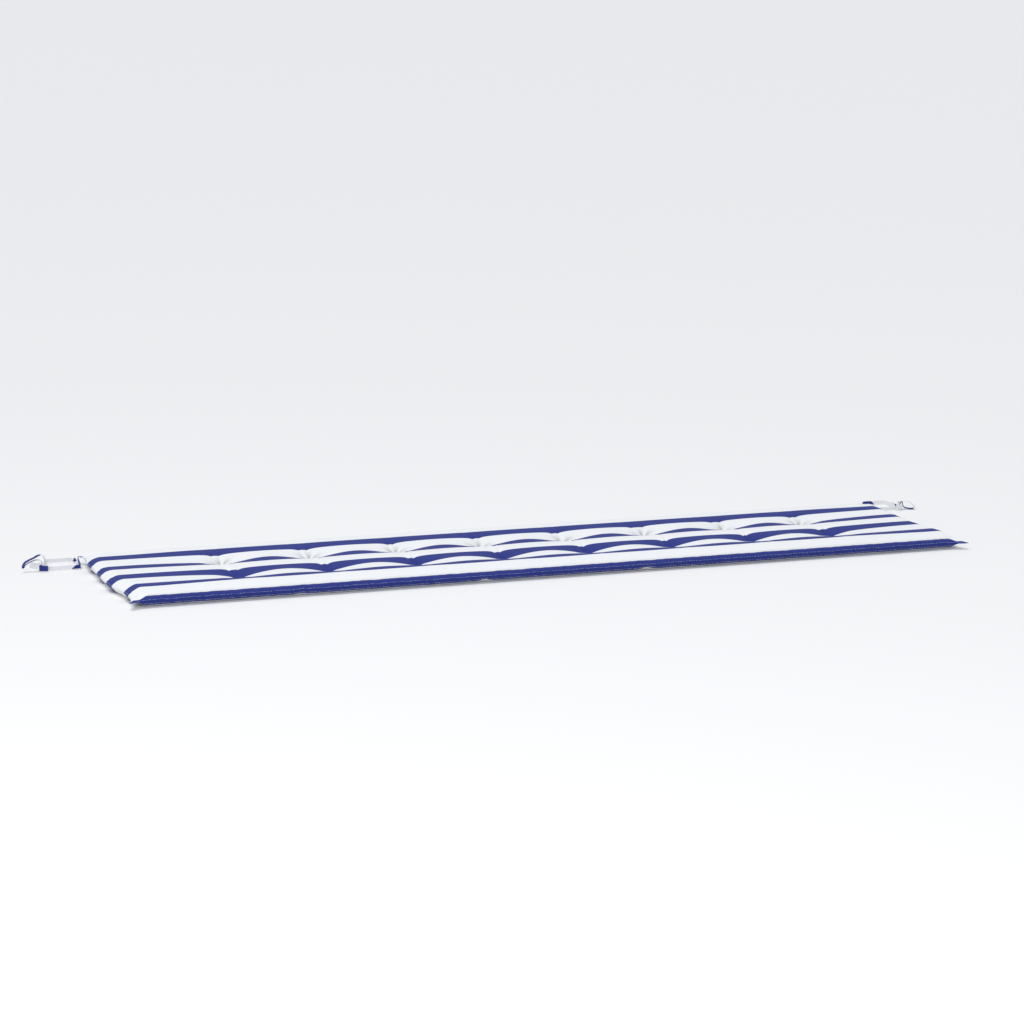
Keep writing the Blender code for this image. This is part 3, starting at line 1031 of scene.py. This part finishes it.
def make_ties():
    for name, side, tip, outside, front, knot_out, knot_back, turn in SIDES:
        inner = LENGTH / 2 + outside
        outer = inner + OPENING_LENGTH
        rear = front + OPENING_DEPTH
        knot_x = outer + knot_out
        tie_x = knot_x - TIE_IN_KNOT
        knot_y = front + knot_back
        reach = KNOT_DEPTH / 2 + CLEAR
        straight = reach + STRAIGHT_INTO_KNOT
        front_route = ((inner, front), (outer, front), (tie_x, knot_y - straight))
        rear_route = (
            (inner, DEPTH / 2 + REAR_ENTRY),
            (inner, rear),
            (outer, rear),
            (tie_x, knot_y + straight),
        )
        for piece, root, corners, end in (
            ("front_tie", FRONT_ROOT, front_route, knot_y - reach),
            ("rear_tie", REAR_ROOT, rear_route, knot_y + reach),
        ):
            start = (side * (LENGTH / 2 + tip + root[0]), DEPTH / 2 + root[1], EAR_HEIGHT)
            path, sideways = route_of_tie(start, (*corners, (tie_x, end)), side)
            make_tape(f"{name}_{piece}", path, sideways)
        middle = Vector((side * knot_x, knot_y, KNOT_LOW + KNOT_HEIGHT / 2))
        make_bow(name, side, middle, turn)


# ---------------------------------------------------------------- stitching


def shape_stitch():
    """One stitch: a short rod, thinned and sunk at both ends where it enters the cloth."""
    deselect_all()
    bpy.ops.mesh.primitive_cylinder_add(
        vertices=6,
        radius=THREAD_THICKNESS / 2,
        depth=STITCH_LENGTH,
        rotation=(0.0, math.pi / 2, 0.0),
    )
    stitch = start_piece("stitch")
    bpy.ops.object.transform_apply(location=False, rotation=True, scale=False)
    bpy.ops.object.mode_set(mode="EDIT")
    bpy.ops.mesh.select_all(action="SELECT")
    bpy.ops.mesh.bisect(plane_co=(0.0, 0.0, 0.0), plane_no=(1.0, 0.0, 0.0))
    bpy.ops.object.mode_set(mode="OBJECT")
    places = points_of(stitch)
    at_end = np.abs(places[:, 0]) > STITCH_LENGTH / 4
    places[at_end, 1] *= 0.5
    places[at_end, 2] = places[at_end, 2] * 0.5 - THREAD_THICKNESS * THREAD_ENDS_SUNK
    faces = [tuple(face.vertices) for face in stitch.data.polygons]
    bpy.data.meshes.remove(stitch.data)
    return places, faces


def sew_line(name, stitch, faces, places, outwards, material):
    """Copies of one stitch along a line of points, each a little higher or lower, in one mesh."""
    runs = np.concatenate([[0.0], np.cumsum(np.linalg.norm(np.diff(places, axis=0), axis=1))])
    pitch = STITCH_LENGTH + STITCH_GAP
    centres = np.arange(pitch / 2, runs[-1] - pitch / 2, pitch)
    chance = np.random.default_rng(21)
    lifts = chance.uniform(*STITCH_LIFTS, len(centres)) * THREAD_THICKNESS
    all_points, all_faces = [], []
    for centre, lift in zip(centres, lifts):
        start, at, end = (
            [np.interp(centre + step * STITCH_LENGTH / 2, runs, places[:, k]) for k in range(3)]
            for step in (-1, 0, 1)
        )
        up = Vector([np.interp(centre, runs, outwards[:, k]) for k in range(3)]).normalized()
        forwards = (Vector(end) - Vector(start)).normalized()
        aside = up.cross(forwards).normalized()
        up = forwards.cross(aside)
        turn = np.array([forwards, aside, up]).T
        base = len(all_points) * len(stitch)
        all_points.append(stitch @ turn.T + np.array(at) + np.array(up) * lift)
        all_faces += [tuple(v + base for v in face) for face in faces]
    mesh = bpy.data.meshes.new(name)
    mesh.from_pydata(np.concatenate(all_points).tolist(), [], all_faces)
    seam = bpy.data.objects.new(name, mesh)
    bpy.context.scene.collection.objects.link(seam)
    mesh.shade_smooth()
    mesh.materials.append(material)
    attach(seam, "root")


def sew_rim():
    """The topstitch that holds the rolled rim, and the seam at its foot, all round."""
    stitch, faces = shape_stitch()
    for name, along, fixed in (
        ("front", 0, -1),
        ("rear", 0, 1),
        ("left", 1, -1),
        ("right", 1, 1),
    ):
        half = (LENGTH if along == 0 else DEPTH) / 2
        other = (DEPTH if along == 0 else LENGTH) / 2
        steps = np.linspace(-half, half, POINTS_ON_SEAM)
        at = np.full_like(steps, fixed * other)
        x, y = (steps, at) if along == 0 else (at, steps)
        for seam, number, thread in (
            ("topstitch", STITCH_LINE, "blue-grey sewing thread"),
            ("foot_seam", SEAM_LINE, "white seam thread"),
        ):
            line = np.full(len(steps), number)
            places = cover_points(x, y, line)
            rise = cover_points(x, y, line + 1) - cover_points(x, y, line - 1)
            outwards = np.cross(np.gradient(places, axis=0), rise)
            facing = (outwards * places * [along, 1 - along, 0]).sum(axis=1)
            outwards *= np.sign(facing)[:, None]
            outwards /= np.linalg.norm(outwards, axis=1)[:, None]
            thread = bpy.data.materials[thread]
            sew_line(f"{seam}_{name}", stitch, faces, places, outwards, thread)


def main():
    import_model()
    make_camera()
    woven_polyester("striped polyester canvas", THREADS_ON_COVER)
    woven_polyester("tie cut across the stripes", THREADS_ON_TIES)
    sewing_thread("blue-grey sewing thread", TOPSTITCH_THREAD)
    sewing_thread("white seam thread", SEAM_THREAD)
    make_floor()
    make_light()
    make_cover()
    sew_rim()
    make_ties()


main()
